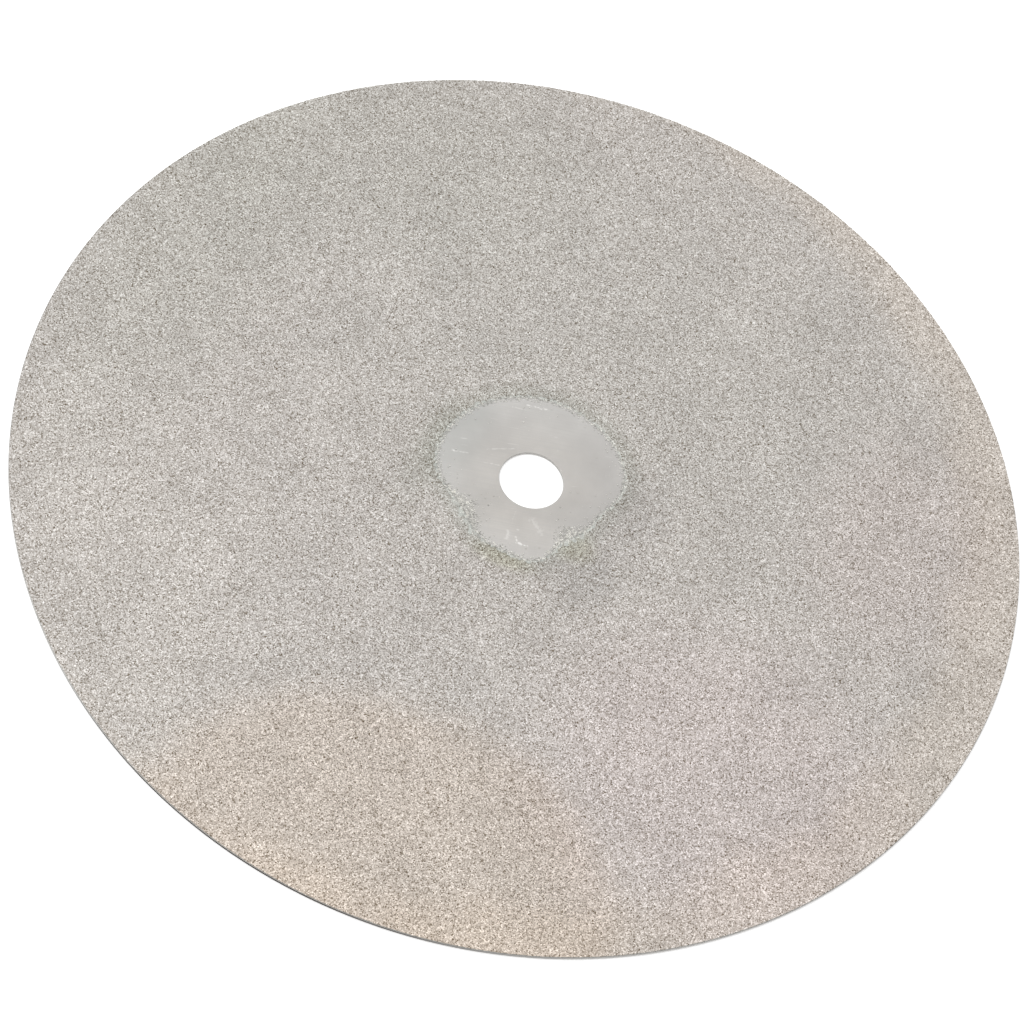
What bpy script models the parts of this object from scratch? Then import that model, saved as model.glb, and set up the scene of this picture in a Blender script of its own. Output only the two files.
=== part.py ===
"""A diamond grinding wheel for a flat lapping machine.

A thin steel disc with a plain arbor hole. Its top face is plated with nickel that holds one layer
of diamond grit, except for a patch round the hole, which a hand-cut mask kept bare. It lies with
its back face on Z = 0, with the hole's centre at the origin.
"""

import math

import bmesh
import bpy

# Driving sizes, in metres
WHEEL_DIAMETER = 0.200
BORE_DIAMETER = 0.0128
PLATE_THICKNESS = 0.0006
EDGE_BREAK = 0.00008  # rounding-off of the punched edges at the back
BLAST_DEPTH = 0.00002  # how much lower the steel is where it was blasted to key the nickel
BOND_THICKNESS = 0.0001
GRIT_HEIGHT = 0.0001  # how far the grains stand out of the nickel
LAYER_GAP = 0.00001  # clearance between one layer and the next
RIM_MARGIN = 0.0001  # steel left bare at the rim
MASK_RADIUS = 0.0194  # the round mask, before it was trimmed

# Where the mask was trimmed: direction in degrees, depth in metres, half width in degrees
MASK_TRIMS = (
    (-44, 0.0040, 18),
    (-10, 0.0044, 26),
    (230, 0.0037, 26),
    (272, 0.0016, 18),
)

RIM_STEPS = 192
MASK_STEPS = 120
SMOOTH_ANGLE = math.radians(30)
WELD_DISTANCE = 1e-6

# Heights and radii that follow
WHEEL_RADIUS = WHEEL_DIAMETER / 2
BORE_RADIUS = BORE_DIAMETER / 2
BLASTED_TOP = PLATE_THICKNESS - BLAST_DEPTH
BOND_BOTTOM = BLASTED_TOP + LAYER_GAP
GRIT_BOTTOM = BOND_BOTTOM + BOND_THICKNESS + LAYER_GAP
COATING_RADIUS = WHEEL_RADIUS - RIM_MARGIN


def clear_scene():
    for obj in list(bpy.data.objects):
        bpy.data.objects.remove(obj, do_unlink=True)


def new_collection(name):
    collection = bpy.data.collections.new(name)
    bpy.context.scene.collection.children.link(collection)
    return collection


def metal(name, color, metallic, roughness):
    material = bpy.data.materials.new(name)
    material.use_nodes = True
    shader = material.node_tree.nodes["Principled BSDF"]
    shader.inputs["Base Color"].default_value = (*color, 1)
    shader.inputs["Metallic"].default_value = metallic
    shader.inputs["Roughness"].default_value = roughness
    material.diffuse_color = (*color, 1)
    return material


def smooth(obj):
    obj.data.shade_smooth()
    obj.data.set_sharp_from_angle(angle=SMOOTH_ANGLE)


def circle(radius):
    turn = 2 * math.pi / RIM_STEPS
    return [(radius * math.cos(i * turn), radius * math.sin(i * turn)) for i in range(RIM_STEPS)]


def mask_radius(angle):
    """The mask's radius in a direction: a circle with a soft hollow at each trimmed place."""
    radius = MASK_RADIUS
    for middle, depth, half_width in MASK_TRIMS:
        away = (angle - math.radians(middle) + math.pi) % (2 * math.pi) - math.pi
        radius -= depth * math.exp(-((away / math.radians(half_width)) ** 2))
    return radius


def mask_outline(clearance):
    """Points round the mask's edge, moved outwards by a clearance."""
    angles = [2 * math.pi * i / MASK_STEPS for i in range(MASK_STEPS)]
    reach = [(angle, mask_radius(angle) + clearance) for angle in angles]
    return [(radius * math.cos(angle), radius * math.sin(angle)) for angle, radius in reach]


def flat_ring(name, outer, inner, bottom, thickness, collection):
    """A flat plate between two outlines, drawn as a filled 2D curve and made a closed mesh."""
    curve = bpy.data.curves.new(name + "_outline", "CURVE")
    curve.dimensions = "2D"
    curve.fill_mode = "BOTH"
    curve.extrude = thickness / 2
    for outline in (outer, inner):
        spline = curve.splines.new("POLY")
        spline.points.add(len(outline) - 1)
        for point, (x, y) in zip(spline.points, outline):
            point.co = (x, y, 0, 1)
        spline.use_cyclic_u = True
    drawn = bpy.data.objects.new(name + "_outline", curve)
    drawn.location.z = bottom + thickness / 2
    collection.objects.link(drawn)
    bpy.context.view_layer.update()

    evaluated = drawn.evaluated_get(bpy.context.evaluated_depsgraph_get())
    mesh = bpy.data.meshes.new_from_object(evaluated)
    weld = bmesh.new()
    weld.from_mesh(mesh)
    bmesh.ops.remove_doubles(weld, verts=weld.verts, dist=WELD_DISTANCE)
    bmesh.ops.recalc_face_normals(weld, faces=weld.faces)
    weld.to_mesh(mesh)
    weld.free()

    ring = bpy.data.objects.new(name, mesh)
    ring.matrix_world = drawn.matrix_world
    collection.objects.link(ring)
    bpy.data.objects.remove(drawn, do_unlink=True)
    return ring


def blasted_area(cutters):
    """What blasting takes off the steel's top face: everything outside the mask."""
    above = PLATE_THICKNESS
    past_rim = circle(WHEEL_RADIUS + above)
    cutter = flat_ring(
        "blasted_area", past_rim, mask_outline(0), BLASTED_TOP, BLAST_DEPTH + above, cutters
    )
    cutter.hide_render = True
    cutter.display_type = "WIRE"
    return cutter


def steel_plate(parts, cutters):
    """The punched steel disc: a turned section, with its top lowered outside the mask."""
    section = [
        (WHEEL_RADIUS, PLATE_THICKNESS),
        (WHEEL_RADIUS, EDGE_BREAK),
        (WHEEL_RADIUS - EDGE_BREAK, 0),
        (BORE_RADIUS + EDGE_BREAK, 0),
        (BORE_RADIUS, EDGE_BREAK),
        (BORE_RADIUS, PLATE_THICKNESS),
    ]
    mesh = bpy.data.meshes.new("steel_plate")
    edges = [(i, (i + 1) % len(section)) for i in range(len(section))]
    mesh.from_pydata([(x, 0, z) for x, z in section], edges, [])
    plate = bpy.data.objects.new("steel_plate", mesh)
    parts.objects.link(plate)

    turn = plate.modifiers.new("turn", "SCREW")
    turn.steps = turn.render_steps = RIM_STEPS
    turn.use_merge_vertices = True
    turn.merge_threshold = WELD_DISTANCE
    blast = plate.modifiers.new("blast", "BOOLEAN")
    blast.object = blasted_area(cutters)
    blast.operation = "DIFFERENCE"
    bpy.context.view_layer.update()

    evaluated = plate.evaluated_get(bpy.context.evaluated_depsgraph_get())
    plate.data = bpy.data.meshes.new_from_object(evaluated)
    plate.modifiers.clear()
    plate.data.materials.clear()
    plate.data.materials.append(metal("bare_steel", (0.52, 0.51, 0.49), 1.0, 0.42))
    smooth(plate)
    return plate


def nickel_bond(parts):
    """The plated nickel that holds the grains."""
    inner = mask_outline(LAYER_GAP)
    bond = flat_ring(
        "nickel_bond", circle(COATING_RADIUS), inner, BOND_BOTTOM, BOND_THICKNESS, parts
    )
    bond.data.materials.append(metal("plated_nickel", (0.56, 0.53, 0.49), 1.0, 0.35))
    smooth(bond)
    return bond


def diamond_grit(parts):
    """The grains that stand out of the nickel, as one sheet up to their tips."""
    inner = mask_outline(LAYER_GAP)
    grit = flat_ring(
        "diamond_grit", circle(COATING_RADIUS), inner, GRIT_BOTTOM, GRIT_HEIGHT, parts
    )
    grit.data.materials.append(metal("nickel_coated_grit", (0.53, 0.50, 0.46), 0.4, 0.6))
    smooth(grit)
    return grit


def main():
    clear_scene()
    parts = new_collection("Diamond grinding wheel")
    cutters = new_collection("Cutters")
    steel_plate(parts, cutters)
    nickel_bond(parts)
    diamond_grit(parts)


main()
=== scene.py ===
"""Looks of a diamond grinding wheel for a flat lapping machine.

The pieces are a punched steel disc, the nickel plated on its top face, the crust of diamond grit in
the nickel, and the loose grains round the patch that a mask kept bare. Sizes are in metres, +Z is up.
"""

import math

import bmesh
import bpy
import numpy as np
from mathutils import Matrix, Vector


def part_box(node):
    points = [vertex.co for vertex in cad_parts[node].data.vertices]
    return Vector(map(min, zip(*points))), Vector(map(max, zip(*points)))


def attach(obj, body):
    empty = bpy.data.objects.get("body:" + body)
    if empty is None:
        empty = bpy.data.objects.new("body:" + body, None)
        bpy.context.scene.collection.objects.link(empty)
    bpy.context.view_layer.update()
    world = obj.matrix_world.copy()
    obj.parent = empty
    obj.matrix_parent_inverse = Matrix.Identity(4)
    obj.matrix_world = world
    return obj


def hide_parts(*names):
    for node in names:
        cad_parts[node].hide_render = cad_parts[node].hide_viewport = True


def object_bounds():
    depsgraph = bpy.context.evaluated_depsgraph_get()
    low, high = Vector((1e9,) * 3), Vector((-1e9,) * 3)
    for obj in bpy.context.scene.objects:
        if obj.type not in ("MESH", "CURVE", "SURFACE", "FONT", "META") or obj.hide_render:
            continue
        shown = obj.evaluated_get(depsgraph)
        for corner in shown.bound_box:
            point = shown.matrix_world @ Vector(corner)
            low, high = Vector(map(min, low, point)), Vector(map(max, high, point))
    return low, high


bl_info = {
    "name": "Diamond Grinding Wheel",
    "version": (1, 0, 0),
    "blender": (4, 5, 0),
    "location": "View3D > Sidebar > Grinding Wheel",
    "description": "Builds the looks of a nickel-bonded diamond grinding wheel",
    "category": "Object",
}

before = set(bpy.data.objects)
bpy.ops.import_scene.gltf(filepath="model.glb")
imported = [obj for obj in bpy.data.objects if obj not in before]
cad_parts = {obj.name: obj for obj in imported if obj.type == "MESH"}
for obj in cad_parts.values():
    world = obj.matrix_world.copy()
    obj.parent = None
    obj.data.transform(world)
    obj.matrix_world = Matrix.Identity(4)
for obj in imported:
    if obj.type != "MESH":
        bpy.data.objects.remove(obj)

MM = 0.001
TURN = 2 * math.pi

# ---- What the frame says -----------------------------------------------------------------------

CAD_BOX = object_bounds()
PLATE_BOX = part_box("steel_plate")
BOND_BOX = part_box("nickel_bond")
GRIT_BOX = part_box("diamond_grit")
WHEEL_RADIUS = PLATE_BOX[1].x
COATING_RADIUS = GRIT_BOX[1].x
PLATE_TOP = PLATE_BOX[1].z
BOND_TOP = BOND_BOX[1].z
GRIT_TOP = GRIT_BOX[1].z


def corners_of(node):
    """Distance from the axis and direction of each corner of a CAD node."""
    places = np.array([corner.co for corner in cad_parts[node].data.vertices])
    return np.hypot(places[:, 0], places[:, 1]), np.arctan2(places[:, 1], places[:, 0])


BORE_RADIUS = float(corners_of("steel_plate")[0].min())
PATCH_LIMIT = WHEEL_RADIUS / 3  # the bare patch ends well inside this
RIM_LIMIT = 2 * PATCH_LIMIT  # the rim is well outside this


def patch_edge(angle):
    """The bare patch's radius in each direction, read along the inner edge of the CAD's nickel."""
    radius, direction = corners_of("nickel_bond")
    inner = radius < PATCH_LIMIT
    order = np.argsort(direction[inner])
    return np.interp(angle, direction[inner][order], radius[inner][order], period=TURN)


# ---- Sizes and colours that a user would change ------------------------------------------------


class WheelSizes(bpy.types.PropertyGroup):
    """Sizes of the wheel's surface."""

    grain_spacing: bpy.props.FloatProperty(
        name="Grain spacing",
        description="From one grain to the next",
        default=0.30 * MM,
        unit="LENGTH",
        precision=5,
    )
    grain_relief: bpy.props.FloatProperty(
        name="Grain relief",
        description="From the lowest hollow to the highest tip",
        default=0.16 * MM,
        unit="LENGTH",
        precision=5,
    )
    edge_raggedness: bpy.props.FloatProperty(
        name="Edge raggedness",
        description="How far grains are missing along the bare patch",
        default=0.12 * MM,
        unit="LENGTH",
        precision=5,
    )
    loose_grains: bpy.props.IntProperty(
        name="Loose grains",
        description="Single grains over the edge of the bare patch",
        default=6000,
        min=0,
    )
    edge_rounding: bpy.props.FloatProperty(
        name="Edge rounding",
        description="Radius of the punched edges",
        default=0.06 * MM,
        unit="LENGTH",
        precision=5,
    )
    rim_steps: bpy.props.IntProperty(
        name="Steps round",
        description="Faces round the rim and the hole",
        default=720,
        min=48,
    )


class WheelColours(bpy.types.PropertyGroup):
    """Colours of the wheel's finishes."""

    grit: bpy.props.FloatVectorProperty(
        name="Grit",
        description="Nickel-coated diamond grains",
        default=(0.468, 0.441, 0.412),
        subtype="COLOR",
    )
    nickel: bpy.props.FloatVectorProperty(
        name="Nickel",
        description="Plated nickel between the grains",
        default=(0.44, 0.455, 0.425),
        subtype="COLOR",
    )
    steel: bpy.props.FloatVectorProperty(
        name="Steel",
        description="Bare steel of the centre and the back",
        default=(0.481, 0.470, 0.452),
        subtype="COLOR",
    )
    # Painted shade: the rim's cut steel is made far darker than steel, as its shaded side looks
    shaded_punched_edge: bpy.props.FloatVectorProperty(
        name="Punched edge",
        description="Cut steel of the rim",
        default=(0.06, 0.05, 0.04),
        subtype="COLOR",
    )
    # Painted light: the rim's lit right and left are painted lighter than its painted shade
    lit_edge: bpy.props.FloatVectorProperty(
        name="Lit edge",
        description="Rim painted lighter where lit",
        default=(0.50, 0.49, 0.47),
        subtype="COLOR",
    )
    hole_wall: bpy.props.FloatVectorProperty(
        name="Hole wall",
        description="Reamed steel of the hole",
        default=(0.42, 0.41, 0.39),
        subtype="COLOR",
    )


class StageSettings(bpy.types.PropertyGroup):
    """The floor, the lights and the camera."""

    elevation: bpy.props.FloatProperty(
        name="Elevation",
        description="Camera's height angle above the floor",
        default=math.radians(56.84),
        subtype="ANGLE",
    )
    roll: bpy.props.FloatProperty(
        name="Roll",
        description="Camera's roll",
        default=math.radians(23.02),
        subtype="ANGLE",
    )
    lens: bpy.props.FloatProperty(
        name="Lens",
        description="Focal length in millimetres",
        default=99.3,
    )
    floor_colour: bpy.props.FloatVectorProperty(
        name="Floor",
        description="Colour of the floor",
        default=(0.96, 0.96, 0.96),
        subtype="COLOR",
    )
    floor_glow: bpy.props.FloatProperty(
        name="Floor glow",
        description="Light that the floor gives by itself, as a light table does",
        default=0.35,
    )


# ---- Node helpers ------------------------------------------------------------------------------


class Nodes:
    """Adds and joins the nodes of one tree."""

    def __init__(self, tree):
        self.tree = tree

    def add(self, kind, settings=None, **inputs):
        node = self.tree.nodes.new(kind)
        for name, value in (settings or {}).items():
            setattr(node, name, value)
        for name, value in inputs.items():
            self.feed(node, name.replace("_", " "), value)
        return node

    def feed(self, node, name, value):
        """Links or sets a socket, which is given by its name or, as i0, i1 and so on, by its number."""
        numbered = name[:1] == "i" and name[1:].isdigit()
        socket = node.inputs[int(name[1:]) if numbered else name]
        if isinstance(value, bpy.types.NodeSocket):
            self.tree.links.new(value, socket)
        else:
            socket.default_value = value

    def math(self, operation, first, second=0.0, third=0.0):
        settings = {"operation": operation}
        return self.add("ShaderNodeMath", settings, i0=first, i1=second, i2=third).outputs[0]

    def vector(self, operation, first, second=(0, 0, 0)):
        node = self.add("ShaderNodeVectorMath", {"operation": operation}, i0=first, i1=second)
        return node.outputs["Value" if operation in ("LENGTH", "DOT_PRODUCT") else "Vector"]

    def ramp(self, value, low, high, to_low=0.0, to_high=1.0):
        """The value's place between low and high, eased, as a number from to_low to to_high."""
        node = self.add("ShaderNodeMapRange", {"interpolation_type": "SMOOTHSTEP"}, Value=value)
        limits = {"From Min": low, "From Max": high, "To Min": to_low, "To Max": to_high}
        for name, number in limits.items():
            node.inputs[name].default_value = number
        return node.outputs["Result"]

    def mix(self, share, first, second, blend="MIX"):
        """Two colours mixed."""
        node = self.add("ShaderNodeMix", {"data_type": "RGBA", "blend_type": blend}, i0=share)
        for index, colour in ((6, first), (7, second)):
            joined = isinstance(colour, bpy.types.NodeSocket)
            self.feed(node, f"i{index}", colour if joined else (*colour[:3], 1))
        return node.outputs[2]

    def group(self, tree, **inputs):
        node = self.add("ShaderNodeGroup", {"node_tree": tree})
        for name, value in inputs.items():
            self.feed(node, name.replace("_", " "), value)
        return node.outputs


def new_group(name, inputs, outputs):
    """An empty shader node group with named sockets: (its nodes, its inputs, its output node)."""
    tree = bpy.data.node_groups.new(name, "ShaderNodeTree")
    for socket, kind, default in inputs:
        made = tree.interface.new_socket(socket, in_out="INPUT", socket_type="NodeSocket" + kind)
        made.default_value = default
    for socket, kind in outputs:
        tree.interface.new_socket(socket, in_out="OUTPUT", socket_type="NodeSocket" + kind)
    nodes = Nodes(tree)
    return nodes, nodes.add("NodeGroupInput").outputs, nodes.add("NodeGroupOutput")


def kept_group(name, build):
    """The named node group, built the first time it is asked for."""
    return bpy.data.node_groups.get(name) or build(name)


# Tone of the grains, partly their own and partly painted glints and painted shade between them: how far it
# swings with each crystal and with a finer ripple, and how large the ripple is against the crystals
CRYSTAL_SWING = 3.1
RIPPLE_SWING = 1.6
RIPPLE_SCALE = 0.9


def grain_group(name):
    """Crystals side by side: a brightness for each, partly painted glints and shade, and the height of its
    facets.
    """
    nodes, given, out = new_group(
        name,
        [("Grain Size", "Float", 0.25 * MM), ("Contrast", "Float", 0.3)],
        [("Tone", "Float"), ("Height", "Float")],
    )
    place = nodes.add("ShaderNodeTexCoord").outputs["Object"]
    across = nodes.math("DIVIDE", 1.0, given["Grain Size"])
    cells = nodes.add("ShaderNodeTexVoronoi", {"feature": "F1"}, Vector=place, Scale=across, Randomness=1.0)
    split = nodes.add("ShaderNodeSeparateColor", Color=cells.outputs["Color"])
    level = nodes.math("SUBTRACT", split.outputs[0], 0.5)
    spread = nodes.math("MULTIPLY", level, nodes.math("ABSOLUTE", level))
    pitch = nodes.math("MULTIPLY", across, RIPPLE_SCALE)
    finer = nodes.add("ShaderNodeTexNoise", Vector=place, Scale=pitch, Detail=2.0, Roughness=0.7)
    ripple = nodes.math("SUBTRACT", finer.outputs["Fac"], 0.5)
    swing = nodes.math("MULTIPLY", spread, CRYSTAL_SWING)
    both = nodes.math("ADD", swing, nodes.math("MULTIPLY", ripple, RIPPLE_SWING))
    tone = nodes.math("MULTIPLY_ADD", both, given["Contrast"], 1.0)
    nodes.feed(out, "Tone", tone)
    nodes.feed(out, "Height", nodes.math("SUBTRACT", split.outputs[1], cells.outputs["Distance"]))
    return nodes.tree


def patch_group(name):
    """A soft-edged oval area with a slightly uneven outline."""
    nodes, given, out = new_group(
        name,
        [
            ("Centre", "Vector", (0, 0, 0)),
            ("Reach", "Vector", (0.02, 0.02, 1)),
            ("Softness", "Float", 0.2),
            ("Unevenness", "Float", 0.1),
        ],
        [("Mask", "Float")],
    )
    place = nodes.add("ShaderNodeTexCoord").outputs["Object"]
    away = nodes.vector("SUBTRACT", place, given["Centre"])
    reach = nodes.vector("LENGTH", nodes.vector("DIVIDE", away, given["Reach"]))
    uneven = nodes.add("ShaderNodeTexNoise", Vector=place, Scale=60.0, Detail=3.0, Roughness=0.6)
    centred = nodes.math("SUBTRACT", uneven.outputs["Fac"], 0.5)
    wobble = nodes.math("MULTIPLY", centred, given["Unevenness"])
    reached = nodes.math("SUBTRACT", 1.0, nodes.math("ADD", reach, wobble))
    over = nodes.math("DIVIDE", reached, given["Softness"])
    nodes.feed(out, "Mask", nodes.ramp(over, -1.0, 1.0))
    return nodes.tree


# Scratches are where the noise is above this level less the share asked for, and this soft-edged
SCRATCH_LEVEL = 0.72
SCRATCH_SOFTNESS = 0.06


def scratch_group(name):
    """Fine straight scratches in one direction, here and there."""
    nodes, given, out = new_group(
        name,
        [
            ("Angle", "Float", 0.0),
            ("Pitch", "Float", 0.2 * MM),
            ("Length", "Float", 8 * MM),
            ("Share", "Float", 0.1),
        ],
        [("Mask", "Float")],
    )
    place = nodes.add("ShaderNodeTexCoord").outputs["Object"]
    about_z = {"rotation_type": "Z_AXIS"}
    rotated = nodes.add("ShaderNodeVectorRotate", about_z, Vector=place, Angle=given["Angle"])
    split = nodes.add("ShaderNodeSeparateXYZ", Vector=rotated.outputs[0])
    along = nodes.math("DIVIDE", split.outputs["X"], given["Length"])
    across = nodes.math("DIVIDE", split.outputs["Y"], given["Pitch"])
    stretched = nodes.add("ShaderNodeCombineXYZ", X=along, Y=across)
    lines = nodes.add(
        "ShaderNodeTexNoise", Vector=stretched.outputs[0], Scale=1.0, Detail=2.0, Roughness=0.6
    )
    level = nodes.math("SUBTRACT", SCRATCH_LEVEL, given["Share"])
    over = nodes.math("SUBTRACT", lines.outputs["Fac"], level)
    nodes.feed(out, "Mask", nodes.ramp(over, 0.0, SCRATCH_SOFTNESS))
    return nodes.tree


# A mark's width varies with a noise of this scale: from its thinnest share at the first value to
# full at the second
STROKE_NOISE_SCALE = 2200.0
STROKE_NOISE = (0.42, 0.62)
THINNEST_STROKE = 0.1


def stroke_group(name):
    """One mark from a point to another, uneven along its length."""
    nodes, given, out = new_group(
        name,
        [("From", "Vector", (0, 0, 0)), ("To", "Vector", (0, 0, 0)), ("Width", "Float", 0.3 * MM)],
        [("Mask", "Float")],
    )
    place = nodes.add("ShaderNodeTexCoord").outputs["Object"]
    flat = nodes.vector("MULTIPLY", place, (1, 1, 0))
    along = nodes.vector("SUBTRACT", given["To"], given["From"])
    away = nodes.vector("SUBTRACT", flat, given["From"])
    covered = nodes.vector("DOT_PRODUCT", away, along)
    over = nodes.math("DIVIDE", covered, nodes.vector("DOT_PRODUCT", along, along))
    share = nodes.math("MINIMUM", nodes.math("MAXIMUM", over, 0.0), 1.0)
    reached = nodes.add("ShaderNodeVectorMath", {"operation": "SCALE"}, i0=along, Scale=share)
    distance = nodes.vector("LENGTH", nodes.vector("SUBTRACT", away, reached.outputs["Vector"]))
    uneven = nodes.add("ShaderNodeTexNoise", Vector=place, Scale=STROKE_NOISE_SCALE, Detail=2.0)
    fullness = nodes.ramp(uneven.outputs["Fac"], *STROKE_NOISE, THINNEST_STROKE, 1.0)
    width = nodes.math("MULTIPLY", given["Width"], fullness)
    nodes.feed(out, "Mask", nodes.ramp(nodes.math("DIVIDE", distance, width), 0.0, 1.0, 1.0, 0.0))
    return nodes.tree


def new_material(name):
    """A new material, its nodes and its Principled shader."""
    material = bpy.data.materials.new(name)
    material.use_nodes = True
    nodes = Nodes(material.node_tree)
    return material, nodes, material.node_tree.nodes["Principled BSDF"]


ANY_HEIGHT = 1000  # a reach along Z so long that height doesn't count


def soft_patch(nodes, centre, reach, softness, unevenness):
    """A mask over an oval area, its centre and reach in shares of the wheel's radius."""
    group = kept_group("Soft Patch", patch_group)
    middle = (centre[0] * WHEEL_RADIUS, centre[1] * WHEEL_RADIUS, 0)
    half = (reach[0] * WHEEL_RADIUS, reach[1] * WHEEL_RADIUS, ANY_HEIGHT)
    outputs = nodes.group(group, Centre=middle, Reach=half, Softness=softness, Unevenness=unevenness)
    return outputs["Mask"]


def scratch_mask(nodes, angle, pitch, length, share):
    """A mask of fine scratches at an angle in radians, with pitch and length in millimetres."""
    group = kept_group("Scratches", scratch_group)
    return nodes.group(group, Angle=angle, Pitch=pitch * MM, Length=length * MM, Share=share)["Mask"]


def tinted(nodes, share, colour, tint):
    """The colour with a share of it multiplied by a tint."""
    return nodes.mix(share, colour, nodes.mix(1.0, colour, tint, "MULTIPLY"))


def scaled(factor, colour):
    """The colour, brighter or darker by a factor."""
    return [factor * channel for channel in colour]


# ---- Materials ---------------------------------------------------------------------------------

# Paler, darker and warmer areas of the coating, paler and warmer towards the near edge: centre, reach,
# softness, unevenness, tint
COATING_TINTS = (
    ((-0.72, -0.62), (0.34, 0.40), 0.45, 0.3, (1.045, 1.045, 1.04)),
    ((-0.84, 0.25), (0.18, 0.45), 0.70, 0.5, (0.945, 0.96, 0.945)),
    ((-0.55, 0.66), (0.34, 0.26), 0.70, 0.5, (0.95, 0.96, 0.95)),
    ((-0.02, 0.38), (0.62, 0.42), 0.70, 0.5, (0.965, 0.975, 0.97)),
    ((0.54, -0.46), (0.32, 0.30), 0.50, 0.3, (1.075, 1.035, 1.05)),
    ((0.72, 0.20), (0.17, 0.24), 0.60, 0.3, (1.025, 0.995, 1.0)),
    ((0.215, 0.0), (0.065, 0.12), 0.70, 0.4, (0.88, 0.88, 0.885)),
    ((0.165, -0.165), (0.075, 0.075), 0.70, 0.4, (0.86, 0.865, 0.87)),
    ((-0.205, -0.02), (0.035, 0.12), 0.70, 0.4, (0.90, 0.915, 0.90)),
    ((0.04, -0.93), (0.45, 0.37), 0.14, 0.14, (1.05, 1.0, 0.955)),
    ((0.04, -1.05), (0.50, 0.35), 0.80, 0.30, (1.05, 1.045, 1.03)),
)

# Warm band of the coating along the rim: its tint, and the centre and reach of the area it leaves out
RIM_TINT = (1.065, 1.035, 1.0)
RIM_REACH = ((-0.11, 0.02), (0.98, 0.98))

# Cloudiness of the coating: noise between which it goes from the darker shade to the paler one
CLOUD_NOISE = (0.25, 0.75)
CLOUD_SHADES = (0.93, 1.07)

# Darker ring of the coating round the bare patch: it fades between two distances in millimetres
RING_FADE = (0.5, 5.0)
RING_STRENGTH = 0.6
RING_TINT = (0.80, 0.83, 0.80)

# How much red, green and blue change with the grains' tone, which is partly painted glints and painted
# shade: darker grains are browner, brighter ones whiter
GRAIN_TONE_TINT = (0.936, 1.0, 1.085)

# Yellow-green nickel at the edge of the bare patch: centre and reach
BOND_STAINS = (((0.01, -0.19), (0.055, 0.020)), ((0.13, -0.105), (0.040, 0.032)))
BOND_STAIN_TINT = (0.89, 0.895, 0.80)
BOND_STAIN_STRENGTH = 0.8
THIN_COVER_SHADE = 1.08  # the crust where it is thin, against the nickel's colour

# Roughness goes from the first value to the second over these heights of the grains
FACET_HEIGHTS = (-0.6, 0.9)
GRIT_ROUGHNESS = (0.55, 0.32)
NICKEL_ROUGHNESS = (0.5, 0.36)

# Shades of the bare steel: centre, reach, softness, unevenness, tint
STEEL_SHADES = (
    ((0.0, 0.0), (0.13, 0.12), 0.5, 0.3, (1.0, 0.985, 0.97)),
    ((0.135, 0.07), (0.085, 0.15), 0.6, 0.3, (0.89, 0.885, 0.885)),
    ((-0.075, -0.105), (0.055, 0.055), 0.6, 0.3, (0.945, 0.945, 0.94)),
    ((-0.17, 0.05), (0.05, 0.11), 0.6, 0.3, (0.92, 0.94, 0.94)),
    ((0.02, -0.12), (0.08, 0.05), 0.6, 0.8, (1.04, 1.03, 1.02)),
)

# Where the cut edge is painted lighter, painted light on its lit right and left: centre and reach
LIT_RIM = (((1.0, 0.2), (1.12, 1.55)), ((-1.0, -0.2), (0.75, 0.75)))

# Marks on the bare steel: from and to in millimetres, width in millimetres, strength
STEEL_MARKS = (
    ((-16.8, -0.8), (-16.2, -0.7), 0.45, 0.8),
    ((-16.2, -0.7), (-13.6, 0.1), 0.24, 0.4),
    ((-10.5, 2.7), (-5.7, 5.3), 0.24, 0.35),
    ((-10.2, -0.5), (-7.0, 0.3), 0.24, 0.3),
    ((-7.0, 16.2), (-2.7, 17.1), 0.28, 0.6),
    ((-4.4, 16.6), (-3.9, 16.7), 0.4, 0.5),
    ((-9.5, 14.4), (-6.5, 15.0), 0.22, 0.25),
    ((1.8, -13.5), (2.3, -14.5), 0.45, 0.6),
    ((2.3, -14.5), (4.3, -14.5), 0.55, 0.8),
    ((0.0, -13.0), (0.2, -14.6), 0.8, 0.3),
    ((1.4, -11.7), (1.7, -11.9), 0.6, 0.35),
    ((-0.3, -8.0), (-0.2, -10.2), 0.4, 0.2),
    ((3.0, -8.3), (6.0, -10.5), 1.4, 0.2),
)
STEEL_MARK_COLOUR = (0.74, 0.73, 0.71)
MARK_GLOSS = 0.12  # how much less rough a mark is

# Cloudiness of the steel: noise over which its shade and its roughness change
STEEL_CLOUD_NOISE = (0.3, 0.7)
STEEL_CLOUD_SHADE = 0.95
STEEL_ROUGHNESS = (0.42, 0.5)

# Fine scratches of the steel: angle in radians, pitch and length in millimetres, share
ROLLING_LINES = (-0.25, 0.25, 20, 0.25)
LONG_SCRATCHES = (-0.32, 0.25, 6, 0.03)
CROSS_SCRATCHES = (1.1, 0.2, 3, 0.0)
ROLLED_SHADE = 0.88
ROLLED_STRENGTH = 0.3
SCRATCH_STRENGTH = 0.5

# The upright part of a face's normal, between a face of the cut edge and a flat one
CUT_TO_FLAT = (0.3, 0.85)

FLOOR_SHADE = 0.985  # the floor's darker places, against its colour

# Single crystals: cells to a metre, and the tones of the darkest and the brightest
CRYSTAL_CELLS = 3000.0
CRYSTAL_TONES = (1.0, 2.15)


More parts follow.
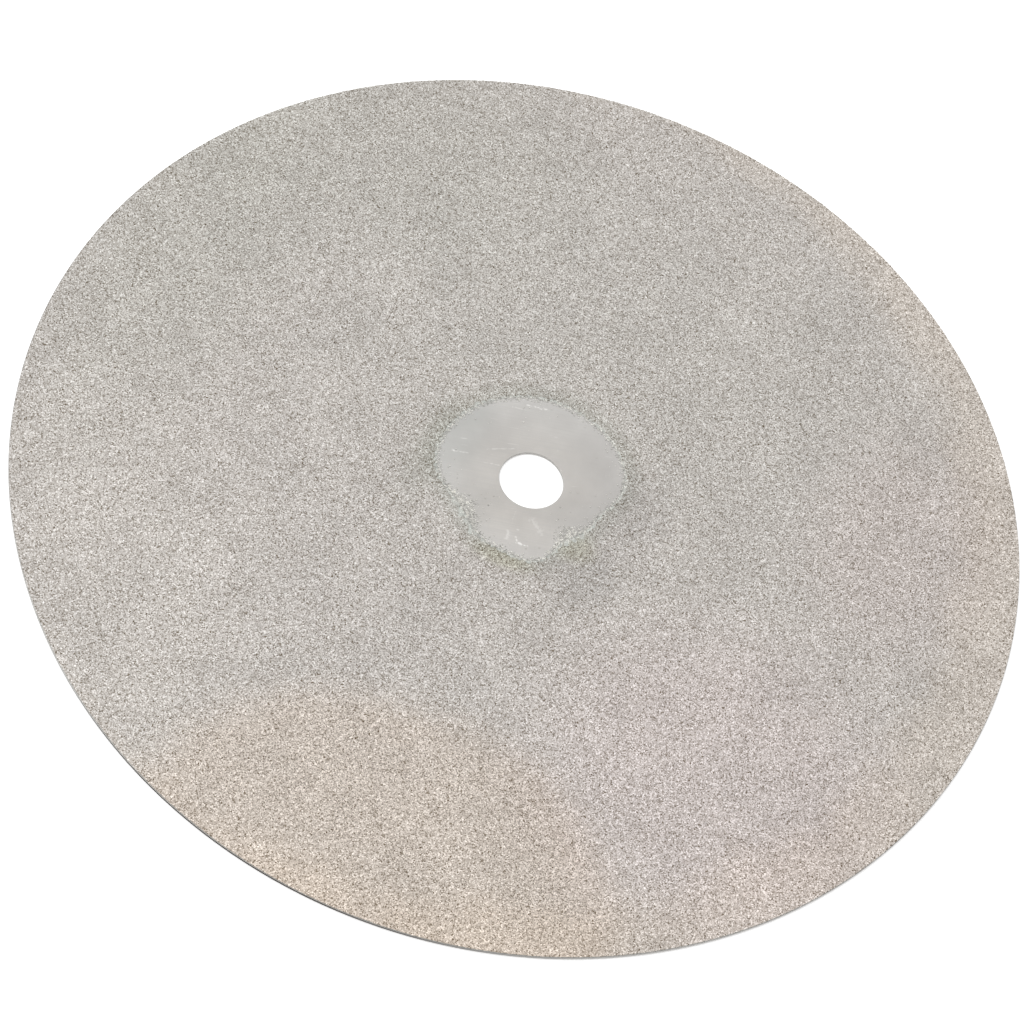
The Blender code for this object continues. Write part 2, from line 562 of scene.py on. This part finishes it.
def coating_tint(nodes, colour):
    """The coating's colour with its large, faint paler, darker and warmer areas."""
    for centre, reach, softness, unevenness, tint in COATING_TINTS:
        colour = tinted(nodes, soft_patch(nodes, centre, reach, softness, unevenness), colour, tint)
    inside = soft_patch(nodes, *RIM_REACH, 0.06, 0.15)
    colour = nodes.mix(inside, nodes.mix(1.0, colour, RIM_TINT, "MULTIPLY"), colour)
    place = nodes.add("ShaderNodeTexCoord").outputs["Object"]
    cloud = nodes.add("ShaderNodeTexNoise", Vector=place, Scale=55.0, Detail=5.0, Roughness=0.7)
    darker, paler = (nodes.mix(1.0, colour, (shade,) * 3, "MULTIPLY") for shade in CLOUD_SHADES)
    return nodes.mix(nodes.ramp(cloud.outputs["Fac"], *CLOUD_NOISE), darker, paler)


def grit_material(colours):
    """Nickel-coated crystals, each with its own gloss and a brightness partly painted glints and shade,
    darker round the bare patch.
    """
    material, nodes, shader = new_material("nickel_coated_grit")
    grains = nodes.group(kept_group("Grains", grain_group), Grain_Size=0.19 * MM, Contrast=1.05)
    colour = coating_tint(nodes, colours.grit)
    ring = nodes.add("ShaderNodeAttribute", {"attribute_name": "edge_distance"}).outputs["Fac"]
    near = nodes.math("MULTIPLY", nodes.ramp(ring, *RING_FADE, 1.0, 0.0), RING_STRENGTH)
    colour = tinted(nodes, near, colour, RING_TINT)
    for centre, reach in BOND_STAINS:
        stain = soft_patch(nodes, centre, reach, softness=0.6, unevenness=0.6)
        stain = nodes.math("MULTIPLY", stain, BOND_STAIN_STRENGTH)
        colour = tinted(nodes, stain, colour, BOND_STAIN_TINT)
    thin = nodes.add("ShaderNodeAttribute", {"attribute_name": "thin_cover"}).outputs["Fac"]
    colour = nodes.mix(thin, colour, scaled(THIN_COVER_SHADE, colours.nickel))
    # The grains' tone, partly painted glints and painted shade, scales the colour
    change = nodes.math("SUBTRACT", grains["Tone"], 1.0)
    change = nodes.math("MULTIPLY", change, nodes.math("SUBTRACT", 1.0, thin))
    red, green, blue = (nodes.math("MULTIPLY_ADD", change, share, 1.0) for share in GRAIN_TONE_TINT)
    shade = nodes.add("ShaderNodeCombineXYZ", X=red, Y=green, Z=blue)
    nodes.feed(shader, "Base Color", nodes.mix(1.0, colour, shade.outputs[0], "MULTIPLY"))
    nodes.feed(shader, "Roughness", nodes.ramp(grains["Height"], *FACET_HEIGHTS, *GRIT_ROUGHNESS))
    bump = nodes.add("ShaderNodeBump", Strength=0.5, Distance=0.05 * MM, Height=grains["Height"])
    nodes.feed(shader, "Normal", bump.outputs[0])
    shader.inputs["Metallic"].default_value = 0.85
    return material


def nickel_material(colours):
    """Plated nickel: matt and finely nodular."""
    material, nodes, shader = new_material("plated_nickel")
    grains = nodes.group(kept_group("Grains", grain_group), Grain_Size=0.15 * MM, Contrast=0.18)
    tone = nodes.add("ShaderNodeCombineXYZ", X=grains["Tone"], Y=grains["Tone"], Z=grains["Tone"])
    nodes.feed(shader, "Base Color", nodes.mix(1.0, colours.nickel, tone.outputs[0], "MULTIPLY"))
    nodes.feed(shader, "Roughness", nodes.ramp(grains["Height"], *FACET_HEIGHTS, *NICKEL_ROUGHNESS))
    bump = nodes.add("ShaderNodeBump", Strength=0.25, Distance=0.03 * MM, Height=grains["Height"])
    nodes.feed(shader, "Normal", bump.outputs[0])
    shader.inputs["Metallic"].default_value = 0.9
    return material


def steel_material(colours):
    """Satin sheet steel with rolling lines and stray scratches, and a cut edge painted dark as shade,
    lighter where lit.
    """
    material, nodes, shader = new_material("bare_steel")
    place = nodes.add("ShaderNodeTexCoord").outputs["Object"]
    noise = nodes.add("ShaderNodeTexNoise", Vector=place, Scale=90.0, Detail=4.0, Roughness=0.6)
    cloud = noise.outputs["Fac"]
    cloudy = scaled(STEEL_CLOUD_SHADE, colours.steel)
    colour = nodes.mix(nodes.ramp(cloud, *STEEL_CLOUD_NOISE), colours.steel, cloudy)
    for centre, reach, softness, unevenness, tint in STEEL_SHADES:
        colour = tinted(nodes, soft_patch(nodes, centre, reach, softness, unevenness), colour, tint)
    rolled = scratch_mask(nodes, *ROLLING_LINES)
    long_marks = scratch_mask(nodes, *LONG_SCRATCHES)
    cross_marks = scratch_mask(nodes, *CROSS_SCRATCHES)
    faint = nodes.math("MULTIPLY", rolled, ROLLED_STRENGTH)
    colour = nodes.mix(faint, colour, scaled(ROLLED_SHADE, colours.steel))
    marks = nodes.math("MULTIPLY", nodes.math("MAXIMUM", long_marks, cross_marks), SCRATCH_STRENGTH)
    stroke = kept_group("Stroke", stroke_group)
    for start, end, width, strength in STEEL_MARKS:
        ends = {"From": (start[0] * MM, start[1] * MM, 0), "To": (end[0] * MM, end[1] * MM, 0)}
        mask = nodes.group(stroke, Width=width * MM, **ends)["Mask"]
        marks = nodes.math("MAXIMUM", marks, nodes.math("MULTIPLY", mask, strength))
    colour = nodes.mix(marks, colour, STEEL_MARK_COLOUR)
    geometry = nodes.add("ShaderNodeNewGeometry").outputs["True Normal"]
    upright = nodes.math("ABSOLUTE", nodes.add("ShaderNodeSeparateXYZ", Vector=geometry).outputs["Z"])
    side = nodes.ramp(upright, *CUT_TO_FLAT, 1.0, 0.0)
    outwards = nodes.vector("LENGTH", nodes.vector("MULTIPLY", place, (1, 1, 0)))
    # The rim: its dark colour is painted shade, and its lit right and left are painted lighter
    rim = colours.shaded_punched_edge
    for centre, reach in LIT_RIM:
        lit_share = soft_patch(nodes, centre, reach, softness=0.25, unevenness=0.15)
        rim = nodes.mix(lit_share, rim, colours.lit_edge)
    cut = nodes.mix(nodes.ramp(outwards, PATCH_LIMIT, RIM_LIMIT), colours.hole_wall, rim)
    colour = nodes.mix(side, colour, cut)
    nodes.feed(shader, "Base Color", colour)
    rough = nodes.ramp(cloud, *STEEL_CLOUD_NOISE, *STEEL_ROUGHNESS)
    rough = nodes.math("SUBTRACT", rough, nodes.math("MULTIPLY", marks, MARK_GLOSS))
    nodes.feed(shader, "Roughness", rough)
    grooves = nodes.math("ADD", rolled, marks)
    bump = nodes.add("ShaderNodeBump", Strength=0.12, Distance=0.01 * MM, Height=grooves)
    nodes.feed(shader, "Normal", bump.outputs[0])
    shader.inputs["Metallic"].default_value = 1.0
    return material


def loose_grain_material(colours):
    """Single crystals, paler and less metallic than the crust, because little nickel covers them."""
    material, nodes, shader = new_material("loose_grains")
    place = nodes.add("ShaderNodeTexCoord").outputs["Object"]
    cells = nodes.add("ShaderNodeTexVoronoi", Vector=place, Scale=CRYSTAL_CELLS).outputs["Color"]
    level = nodes.add("ShaderNodeSeparateColor", Color=cells).outputs[0]
    tone = nodes.ramp(level, 0.0, 1.0, *CRYSTAL_TONES)
    grey = nodes.add("ShaderNodeCombineXYZ", X=tone, Y=tone, Z=tone)
    pale = [0.5 * (crust + bond) for crust, bond in zip(colours.grit, colours.nickel)]
    nodes.feed(shader, "Base Color", nodes.mix(1.0, pale, grey.outputs[0], "MULTIPLY"))
    shader.inputs["Metallic"].default_value = 0.2
    shader.inputs["Roughness"].default_value = 0.4
    return material


def floor_material(stage):
    """A matt, faintly uneven floor with a weak glow."""
    material, nodes, shader = new_material("floor")
    place = nodes.add("ShaderNodeTexCoord").outputs["Object"]
    grain = nodes.add("ShaderNodeTexNoise", Vector=place, Scale=30.0, Detail=3.0).outputs["Fac"]
    darker = scaled(FLOOR_SHADE, stage.floor_colour)
    nodes.feed(shader, "Base Color", nodes.mix(grain, stage.floor_colour, darker))
    shader.inputs["Roughness"].default_value = 0.9
    shader.inputs["Specular IOR Level"].default_value = 0.1
    shader.inputs["Emission Color"].default_value = (1, 1, 1, 1)
    shader.inputs["Emission Strength"].default_value = stage.floor_glow
    return material


# ---- Shapes ------------------------------------------------------------------------------------


def linked(name, mesh, material):
    """A new object in the scene, with its material."""
    obj = bpy.data.objects.new(name, mesh)
    bpy.context.scene.collection.objects.link(obj)
    mesh.materials.append(material)
    return obj


def triangle_mesh(name, places, triangles):
    """A mesh from arrays of places and of three corners for each triangle."""
    mesh = bpy.data.meshes.new(name)
    mesh.vertices.add(len(places))
    mesh.vertices.foreach_set("co", np.ascontiguousarray(places, np.float32).ravel())
    mesh.loops.add(3 * len(triangles))
    mesh.loops.foreach_set("vertex_index", np.ascontiguousarray(triangles, np.int32).ravel())
    mesh.polygons.add(len(triangles))
    mesh.polygons.foreach_set("loop_start", np.arange(0, 3 * len(triangles), 3, dtype=np.int32))
    mesh.update(calc_edges=True)
    return mesh


def arc(centre, radius, start, end, steps=3):
    """Points of an arc in a section, from one angle to another in degrees."""
    angles = [math.radians(start + (end - start) * i / steps) for i in range(steps + 1)]
    return [(centre[0] + radius * math.cos(a), centre[1] + radius * math.sin(a)) for a in angles]


SHARP_ANGLE = math.radians(35)


def turned(name, section, steps):
    """A closed body made by turning a section of (radius, height) points about Z."""
    shape = bmesh.new()
    corners = [shape.verts.new((radius, 0, height)) for radius, height in section]
    for corner, following in zip(corners, corners[1:] + corners[:1]):
        shape.edges.new((corner, following))
    bmesh.ops.spin(
        shape,
        geom=shape.verts[:] + shape.edges[:],
        cent=(0, 0, 0),
        axis=(0, 0, 1),
        angle=TURN,
        steps=steps,
        use_merge=True,
    )
    bmesh.ops.recalc_face_normals(shape, faces=shape.faces)
    mesh = bpy.data.meshes.new(name)
    shape.to_mesh(mesh)
    shape.free()
    mesh.shade_smooth()
    mesh.set_sharp_from_angle(angle=SHARP_ANGLE)
    return mesh


def steel_disc_mesh(sizes):
    """The punched disc: rolled over a little at its top edges, with a fine burr at the back."""
    small = sizes.edge_rounding
    burr = 0.4 * small
    land = 3 * small
    section = [
        *arc((WHEEL_RADIUS - small, PLATE_TOP - small), small, 90, 0),
        (WHEEL_RADIUS, 2 * small),
        (WHEEL_RADIUS - burr, small),
        (WHEEL_RADIUS - burr, 0),
        (WHEEL_RADIUS - land, 0),
        (BORE_RADIUS + land, 0),
        (BORE_RADIUS + burr, 0),
        (BORE_RADIUS + burr, small),
        (BORE_RADIUS, 2 * small),
        *arc((BORE_RADIUS + small, PLATE_TOP - small), small, 180, 90),
        (PATCH_LIMIT, PLATE_TOP),
    ]
    return turned("steel_disc", section, sizes.rim_steps)


LATTICE_NUDGE = 0.32  # how far a corner may move each way, in spacings


def lattice(radius, spacing, random):
    """Corners and triangles of a triangular lattice over a disc, each corner nudged at random."""
    row_pitch = math.sqrt(3) / 2
    rows, columns = int(radius / spacing / row_pitch) + 2, int(radius / spacing) + 2
    row, column = np.mgrid[-rows : rows + 1, -columns : columns + 1]
    shifted = row % 2
    places = np.stack([column + shifted / 2, row * row_pitch], -1).reshape(-1, 2)
    places = (places + random.uniform(-LATTICE_NUDGE, LATTICE_NUDGE, places.shape)) * spacing
    index = np.arange(len(places)).reshape(row.shape)
    low, low_next = index[:-1, :-1].ravel(), index[:-1, 1:].ravel()
    high, high_next = index[1:, :-1].ravel(), index[1:, 1:].ravel()
    odd = shifted[:-1, :-1].ravel()[:, None] == 1
    in_odd_rows = ((low, high_next, high), (low, low_next, high_next))
    in_even_rows = ((low, low_next, high), (low_next, high_next, high))
    triangles = [
        np.where(odd, np.stack(in_odd, 1), np.stack(in_even, 1))
        for in_odd, in_even in zip(in_odd_rows, in_even_rows)
    ]
    return places, np.concatenate(triangles)


def waviness(angle, random, waves):
    """A smooth random curve round a circle, about -1 to 1, from waves that fit it so many times."""
    counts = np.arange(*waves)
    phases = random.uniform(0, TURN, len(counts))
    heights = random.normal(0, 1, len(counts)) / np.sqrt(len(counts))
    return (np.sin(angle[..., None] * counts + phases) * heights).sum(-1)


# Where the mask lifted and let some grains in: direction and half width in degrees
LIFTED_PLACES = ((231, 17), (-38, 13))


def lifted(angle):
    """How far the mask had lifted in each direction, from 0 to 1."""
    share = np.zeros_like(angle)
    for middle, half_width in LIFTED_PLACES:
        away = (angle - math.radians(middle) + math.pi) % TURN - math.pi
        share += np.exp(-((away / math.radians(half_width)) ** 2))
    return share


def more_where_lifted(angle, everywhere, added):
    """An amount that holds everywhere, with more added where the mask had lifted."""
    return everywhere + added * lifted(angle)


RIM_UNEVENNESS = 0.05  # the crust's outer edge stops up to this short of the coating's, in millimetres


def skirt(places, triangles, height, drop_to, random):
    """Brings the crust's outer edge to the coating's radius and closes it down to the steel."""
    edges = np.concatenate([triangles[:, [0, 1]], triangles[:, [1, 2]], triangles[:, [2, 0]]])
    _, first, uses = np.unique(np.sort(edges, 1), axis=0, return_index=True, return_counts=True)
    border = edges[first[uses == 1]]
    border = border[np.hypot(*places[border[:, 0]].T) > RIM_LIMIT]
    corners, index = np.unique(border, return_inverse=True)
    reach = COATING_RADIUS - random.uniform(0, RIM_UNEVENNESS, len(corners)) * MM
    places[corners] *= (reach / np.hypot(*places[corners].T))[:, None]
    above = index.reshape(border.shape) + len(places)
    below = above + len(corners)
    walls = np.concatenate([
        np.column_stack([above[:, 1], above[:, 0], below[:, 0]]),
        np.column_stack([above[:, 1], below[:, 0], below[:, 1]]),
    ])
    skin = np.column_stack([places, height])
    foot = np.column_stack([places[corners], np.full(len(corners), drop_to)])
    return np.concatenate([skin, skin[corners], foot]), np.concatenate([triangles, walls])


# The crust at the bare patch: how far it reaches over the patch's edge before the raggedness takes
# grains away, and how deep its edges go into the steel, in millimetres
CRUST_OVERLAP = 0.1
CRUST_SINK = 0.01

# Where the mask had lifted: raggedness everywhere and more, and how much of the nickel shows through,
# with the distance in millimetres over which that fades
CRUST_RAGGEDNESS = (1, 1.5)
THIN_SHARE = 0.5
THIN_FADE = 1.6

RIM_SLACK = 0.2  # in spacings: corners this far past the coating's edge are kept and moved back to it
FULL_RING = 6  # triangles that meet at a corner inside the lattice


def grit_mesh(sizes):
    """The crust of grains: a skin of facets, closed at the rim, that thins out at the bare patch."""
    random = np.random.default_rng(7)
    spacing = sizes.grain_spacing
    places, triangles = lattice(WHEEL_RADIUS, spacing, random)
    radius, angle = np.hypot(*places.T), np.arctan2(places[:, 1], places[:, 0])
    edge = patch_edge(angle)
    ragged = random.exponential(1, len(places)) * sizes.edge_raggedness
    ragged = ragged * more_where_lifted(angle, *CRUST_RAGGEDNESS)
    past_patch = radius > edge - CRUST_OVERLAP * MM + ragged
    inside = past_patch & (radius < COATING_RADIUS + RIM_SLACK * spacing)
    triangles = triangles[inside[triangles].all(1)]
    used, uses = np.unique(triangles, return_counts=True)
    renumbered = np.zeros(len(places), np.int64)
    renumbered[used] = np.arange(len(used))
    places, radius, angle, edge = places[used], radius[used], angle[used], edge[used]
    low = PLATE_TOP - CRUST_SINK * MM
    height = BOND_TOP + sizes.grain_relief * random.uniform(0, 1, len(used))
    height[(uses < FULL_RING) & (radius < PATCH_LIMIT)] = low
    distance = (radius - edge) / MM
    thin = THIN_SHARE * lifted(angle) * np.exp(-np.maximum(distance, 0) / THIN_FADE)
    corners, triangles = skirt(places, renumbered[triangles], height, low, random)
    mesh = triangle_mesh("grit_crust", corners, triangles)
    on_skirt = len(corners) - len(used)
    for name, values, at_rim in (("edge_distance", distance, distance.max()), ("thin_cover", thin, 0)):
        whole = np.concatenate([values, np.full(on_skirt, at_rim)]).astype(np.float32)
        mesh.attributes.new(name, "FLOAT", "POINT").data.foreach_set("value", whole)
    return mesh


# The nickel's feather edge: distance from its start in millimetres, and share of its full height
FEATHER = ((0.02, 0.3), (0.15, 0.6), (0.45, 0.9))
FEATHER_END = 1.0
NICKEL_SINK = 0.02  # how deep its edges go into the steel, in millimetres
NICKEL_WAVINESS = 0.12  # of its start, in millimetres
NICKEL_WAVES = (20, 260)


def nickel_mesh(sizes):
    """The nickel layer: thinned out to a ragged feather edge round the bare patch."""
    random = np.random.default_rng(11)
    steps = 2 * sizes.rim_steps
    angle = np.arange(steps) * TURN / steps
    edge = patch_edge(angle) + NICKEL_WAVINESS * MM * waviness(angle, random, NICKEL_WAVES)
    outer = np.full(steps, COATING_RADIUS)
    rise = BOND_TOP - PLATE_TOP
    low = PLATE_TOP - NICKEL_SINK * MM
    rings = [
        (edge, low),
        *((edge + away * MM, PLATE_TOP + share * rise) for away, share in FEATHER),
        (edge + FEATHER_END * MM, BOND_TOP),
        (outer, BOND_TOP),
        (outer, low),
    ]
    east, north = np.cos(angle), np.sin(angle)
    places = [np.column_stack([r * east, r * north, np.full(steps, z)]) for r, z in rings]
    ring, step = np.mgrid[0 : len(rings) - 1, 0:steps]
    here, following = ring * steps + step, ring * steps + (step + 1) % steps
    first = np.stack([here, here + steps, following], -1).reshape(-1, 3)
    second = np.stack([following, here + steps, following + steps], -1).reshape(-1, 3)
    return triangle_mesh("nickel_layer", np.concatenate(places), np.concatenate([first, second]))


# Loose grains: chance of one, and spread in millimetres, everywhere and added where the mask lifted
LOOSE_CHANCE = (0.22, 0.78)
LOOSE_SPREAD = (0.4, 0.9)
LOOSE_MIDDLE = 0.1  # middle of the spread, outwards of the patch's edge, in spreads
LOOSE_TRIES = 6  # directions drawn for each grain wanted

# A few stray further in over the patch: their share, mean distance and distance kept from the hole's
# edge, in millimetres
STRAY_SHARE = 0.03
STRAY_REACH = 2.5
HOLE_CLEARANCE = 1.5

# Their size: radius in millimetres, the middle's height over the steel in radii, and how far each of
# the three axes differs from the radius
CRYSTAL_RADIUS = (0.06, 0.14)
CRYSTAL_RISE = 0.3
CRYSTAL_SQUASH = (0.6, 1.2)


def loose_grain_mesh(sizes):
    """Single crystals over the edge of the bare patch, crowded where the mask lifted."""
    random = np.random.default_rng(23)
    shape = bmesh.new()
    bmesh.ops.create_icosphere(shape, subdivisions=1, radius=1)
    corners = np.array([corner.co for corner in shape.verts])
    faces = np.array([[corner.index for corner in face.verts] for face in shape.faces])
    shape.free()
    angle = random.uniform(0, TURN, LOOSE_TRIES * sizes.loose_grains)
    caught = random.uniform(0, 1, len(angle)) < more_where_lifted(angle, *LOOSE_CHANCE)
    angle = angle[caught][: sizes.loose_grains]
    count = len(angle)
    spread = more_where_lifted(angle, *LOOSE_SPREAD) * MM
    stray = random.uniform(0, 1, count) < STRAY_SHARE
    inwards = random.exponential(STRAY_REACH * MM, count)
    offset = np.where(stray, -inwards, spread * random.normal(LOOSE_MIDDLE, 1, count))
    radius = np.maximum(patch_edge(angle) + offset, BORE_RADIUS + HOLE_CLEARANCE * MM)
    size = random.uniform(*CRYSTAL_RADIUS, count) * MM
    height = PLATE_TOP + CRYSTAL_RISE * size
    middle = np.column_stack([radius * np.cos(angle), radius * np.sin(angle), height])
    turns, _ = np.linalg.qr(random.normal(0, 1, (count, 3, 3)))
    squash = size[:, None] * random.uniform(*CRYSTAL_SQUASH, (count, 3))
    places = np.einsum("gij,kj,gj->gki", turns, corners, squash) + middle[:, None]
    triangles = faces + len(corners) * np.arange(count)[:, None, None]
    return triangle_mesh("loose_grains", places.reshape(-1, 3), triangles.reshape(-1, 3))


# ---- Operators ---------------------------------------------------------------------------------


def finish_piece(obj, slot, *nodes):
    """The piece rides with the wheel and stands for CAD nodes; its slot is not used."""
    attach(obj, "root")
    if nodes:
        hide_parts(*nodes)


class WHEEL_OT_steel_disc(bpy.types.Operator):
    """Makes the punched steel disc"""

    bl_idname = "wheel.steel_disc"
    bl_label = "Steel Disc"

    def execute(self, context):
        mesh = steel_disc_mesh(context.scene.wheel_sizes)
        disc = linked("steel_disc", mesh, steel_material(context.scene.wheel_colours))
        finish_piece(disc, "bare_steel", "steel_plate")
        return {"FINISHED"}


class WHEEL_OT_nickel_layer(bpy.types.Operator):
    """Makes the plated nickel layer"""

    bl_idname = "wheel.nickel_layer"
    bl_label = "Nickel Layer"

    def execute(self, context):
        mesh = nickel_mesh(context.scene.wheel_sizes)
        layer = linked("nickel_layer", mesh, nickel_material(context.scene.wheel_colours))
        finish_piece(layer, "plated_nickel", "nickel_bond")
        return {"FINISHED"}


class WHEEL_OT_grit_crust(bpy.types.Operator):
    """Makes the crust of diamond grains"""

    bl_idname = "wheel.grit_crust"
    bl_label = "Grit Crust"

    def execute(self, context):
        mesh = grit_mesh(context.scene.wheel_sizes)
        crust = linked("grit_crust", mesh, grit_material(context.scene.wheel_colours))
        finish_piece(crust, "nickel_coated_grit", "diamond_grit")
        return {"FINISHED"}


class WHEEL_OT_loose_grains(bpy.types.Operator):
    """Scatters single grains over the edge of the bare patch"""

    bl_idname = "wheel.loose_grains"
    bl_label = "Loose Grains"

    def execute(self, context):
        mesh = loose_grain_mesh(context.scene.wheel_sizes)
        grains = linked("loose_grains", mesh, loose_grain_material(context.scene.wheel_colours))
        finish_piece(grains, "nickel_coated_grit")
        return {"FINISHED"}


# Softboxes: name, place in metres, side in metres, power for each square metre over pi
SOFTBOXES = (
    ("softbox_back", (0.0, 1.00, 1.50), 2.6, 0.85),
    ("softbox_left", (-1.20, -0.30, 1.30), 1.2, 2.75),
)
WORLD_STRENGTH = 0.53

# Floor: half its side in wheel radii, and its distance under the wheel in millimetres
FLOOR_REACH = 50
FLOOR_DROP = 0.05

# Camera: the point it looks at and its distance from it in wheel radii, shift, sensor's width in
# millimetres, and the nearest and farthest it sees in metres
CAMERA_AIM = (0.220, -0.087)
CAMERA_DISTANCE = 5.471
CAMERA_SHIFT = (-0.1063, 0.0451)
SENSOR_WIDTH = 36
CAMERA_CLIP = (0.01, 20)


class WHEEL_OT_stage(bpy.types.Operator):
    """Makes the floor, the lights and the camera"""

    bl_idname = "wheel.stage"
    bl_label = "Stage"

    def execute(self, context):
        scene, stage = context.scene, context.scene.wheel_stage
        self.add_floor(stage)
        for name, place, side, brightness in SOFTBOXES:
            self.add_softbox(name, Vector(place), side, brightness)
        world = bpy.data.worlds.new("studio")
        world.use_nodes = True
        background = world.node_tree.nodes["Background"]
        background.inputs["Color"].default_value = (1, 1, 1, 1)
        background.inputs["Strength"].default_value = WORLD_STRENGTH
        scene.world = world
        scene.view_settings.view_transform = "Standard"
        scene.cycles.denoising_prefilter = "FAST"  # the accurate one would smooth the grains away
        self.add_camera(scene, stage)
        return {"FINISHED"}

    def add_floor(self, stage):
        """A plain floor just under the wheel."""
        mesh = bpy.data.meshes.new("floor")
        half = FLOOR_REACH * WHEEL_RADIUS
        low = CAD_BOX[0].z - FLOOR_DROP * MM
        corners = [(x * half, y * half, low) for x, y in ((-1, -1), (1, -1), (1, 1), (-1, 1))]
        mesh.from_pydata(corners, [], [(0, 1, 2, 3)])
        linked("floor", mesh, floor_material(stage))

    def add_softbox(self, name, place, side, brightness):
        """A square lamp that faces the middle of the wheel and isn't seen itself."""
        data = bpy.data.lights.new(name, "AREA")
        data.shape = "SQUARE"
        data.size = side
        data.energy = brightness * math.pi * side**2
        lamp = bpy.data.objects.new(name, data)
        lamp.location = place
        lamp.rotation_euler = (-place).to_track_quat("-Z", "Y").to_euler()
        lamp.visible_camera = False
        bpy.context.scene.collection.objects.link(lamp)

    def add_camera(self, scene, stage):
        """The camera looks along +Y and down at a point on the coated face, and is rolled."""
        aim = Vector((CAMERA_AIM[0] * WHEEL_RADIUS, CAMERA_AIM[1] * WHEEL_RADIUS, GRIT_TOP))
        distance = CAMERA_DISTANCE * WHEEL_RADIUS
        back = Vector((0, -math.cos(stage.elevation), math.sin(stage.elevation)))
        data = bpy.data.cameras.new("camera")
        data.sensor_width = SENSOR_WIDTH
        data.lens = stage.lens
        data.shift_x, data.shift_y = CAMERA_SHIFT
        data.clip_start, data.clip_end = CAMERA_CLIP
        camera = bpy.data.objects.new("camera", data)
        upright = Matrix.Rotation(math.pi / 2 - stage.elevation, 4, "X")
        roll = Matrix.Rotation(stage.roll, 4, "Z")
        camera.matrix_world = Matrix.Translation(aim + back * distance) @ upright @ roll
        scene.collection.objects.link(camera)
        scene.camera = camera


class VIEW3D_PT_grinding_wheel(bpy.types.Panel):
    """Lists the wheel's pieces and settings"""

    bl_label = "Grinding Wheel"
    bl_space_type = "VIEW_3D"
    bl_region_type = "UI"
    bl_category = "Grinding Wheel"

    def draw(self, context):
        for operator in OPERATORS:
            self.layout.operator(operator.bl_idname)
        for group_name, group in SETTINGS:
            box = self.layout.box()
            for name in group.__annotations__:
                box.prop(getattr(context.scene, group_name), name)


OPERATORS = (
    WHEEL_OT_stage,
    WHEEL_OT_steel_disc,
    WHEEL_OT_nickel_layer,
    WHEEL_OT_grit_crust,
    WHEEL_OT_loose_grains,
)
SETTINGS = (("wheel_sizes", WheelSizes), ("wheel_colours", WheelColours), ("wheel_stage", StageSettings))


def register():
    for name, group in SETTINGS:
        bpy.utils.register_class(group)
        setattr(bpy.types.Scene, name, bpy.props.PointerProperty(type=group))
    for made in (*OPERATORS, VIEW3D_PT_grinding_wheel):
        bpy.utils.register_class(made)


def unregister():
    for made in (VIEW3D_PT_grinding_wheel, *reversed(OPERATORS)):
        bpy.utils.unregister_class(made)
    for name, group in reversed(SETTINGS):
        delattr(bpy.types.Scene, name)
        bpy.utils.unregister_class(group)


def main():
    register()
    bpy.ops.wheel.stage()
    bpy.ops.wheel.steel_disc()
    bpy.ops.wheel.nickel_layer()
    bpy.ops.wheel.grit_crust()
    bpy.ops.wheel.loose_grains()


if __name__ == "__main__":
    main()
